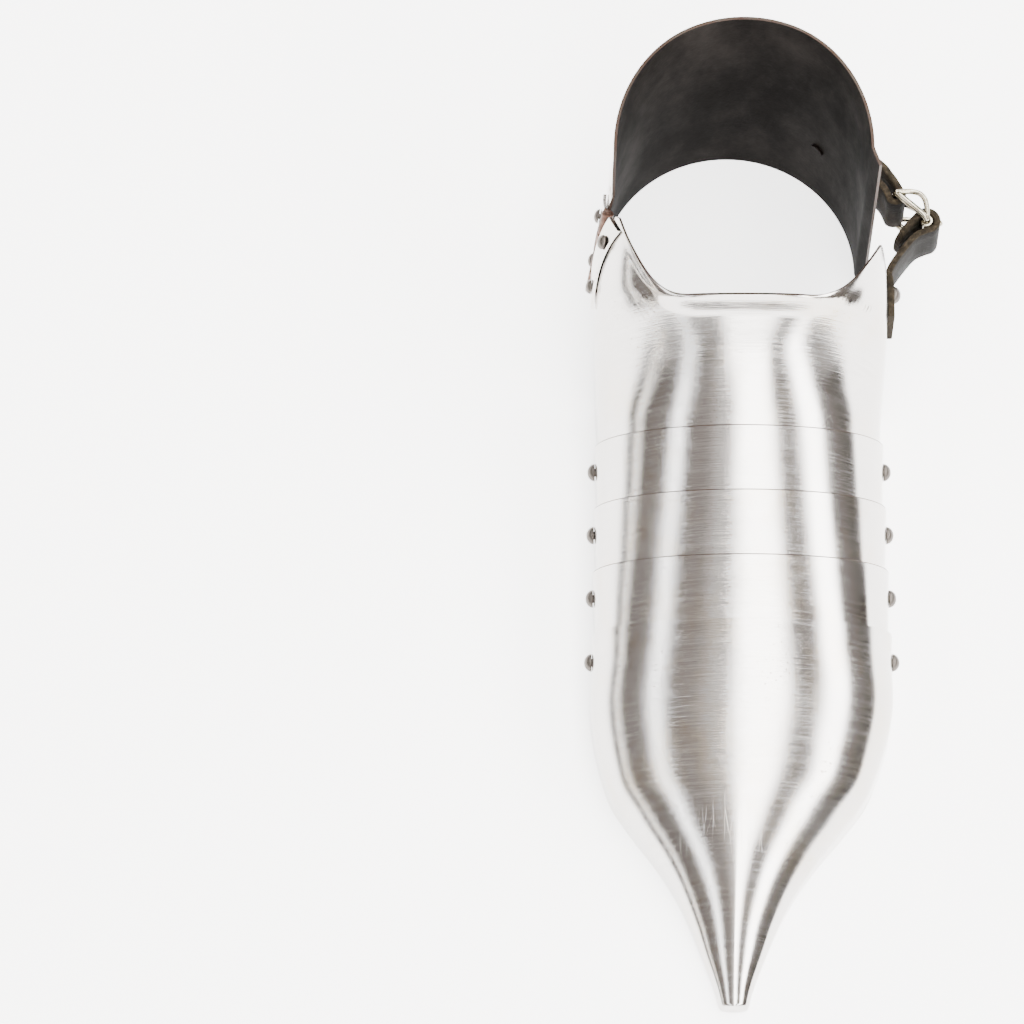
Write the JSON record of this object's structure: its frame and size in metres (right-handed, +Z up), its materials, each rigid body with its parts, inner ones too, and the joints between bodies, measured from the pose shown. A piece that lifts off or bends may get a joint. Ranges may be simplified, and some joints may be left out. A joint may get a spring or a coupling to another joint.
{
  "type": "sabaton",
  "caption": "Hinged steel sabaton for the left foot with a pointed toe plate, riveted lames, a heel plate, and a leather strap with a roller buckle.",
  "frame": {"origin": "under the middle of the whole sabaton's box, on the plane its lower edges stand on", "axes": "+Z up, -Y towards the toe, +Y towards the heel, +X towards the outer side with the buckle"},
  "size_m": [0.1444, 0.366, 0.133],
  "materials": {
    "polished_steel": "polished with fine scratches, stains and dark cut edges",
    "rivet_steel": "bright",
    "coppered_steel": "coppery, lightly rusted",
    "buckle_nickel": "worn nickel plate",
    "black_leather": "black with brown cut edges"
  },
  "bodies": {
    "rear_assembly": {"instep_plate": "polished_steel", "heel_plate": "polished_steel", "hinge_leaf_front": "coppered_steel", "hinge_leaf_rear": "coppered_steel", "hinge_pin": "coppered_steel", "hinge_rivet_front_1": "rivet_steel", "hinge_rivet_front_2": "rivet_steel", "hinge_rivet_rear_1": "rivet_steel", "hinge_rivet_rear_2": "rivet_steel", "lame_rivet_inner_1": "rivet_steel", "lame_rivet_outer_1": "rivet_steel", "strap_front": "black_leather", "strap_heel": "black_leather", "strap_rivet_front": "rivet_steel", "strap_rivet_heel": "rivet_steel", "buckle_frame": "buckle_nickel", "buckle_roller": "buckle_nickel", "buckle_prong": "buckle_nickel"},
    "lame_1_body": {"lame_1": "polished_steel", "lame_rivet_inner_2": "rivet_steel", "lame_rivet_outer_2": "rivet_steel"},
    "lame_2_body": {"lame_2": "polished_steel", "lame_rivet_inner_3": "rivet_steel", "lame_rivet_outer_3": "rivet_steel"},
    "lame_3_body": {"lame_3": "polished_steel", "lame_rivet_inner_4": "rivet_steel", "lame_rivet_outer_4": "rivet_steel"},
    "toe_body": {"toe_plate": "polished_steel"}
  },
  "joints": [
    {"name": "lame_1_flex", "type": "hinge", "parent": "rear_assembly", "child": "lame_1_body", "pos_m": [-0.01, 0.03751, 0.0145], "axis": [-1, 0, 0], "range_deg": [-5, 3]},
    {"name": "lame_2_flex", "type": "hinge", "parent": "lame_1_body", "child": "lame_2_body", "pos_m": [-0.01, 0.01051, 0.0145], "axis": [-1, 0, 0], "range_deg": [-5, 3]},
    {"name": "lame_3_flex", "type": "hinge", "parent": "lame_2_body", "child": "lame_3_body", "pos_m": [-0.01, -0.01649, 0.0145], "axis": [-1, 0, 0], "range_deg": [-5, 3]},
    {"name": "toe_flex", "type": "hinge", "parent": "lame_3_body", "child": "toe_body", "pos_m": [-0.01, -0.04349, 0.0145], "axis": [-1, 0, 0], "range_deg": [-5, 3]}
  ]
}
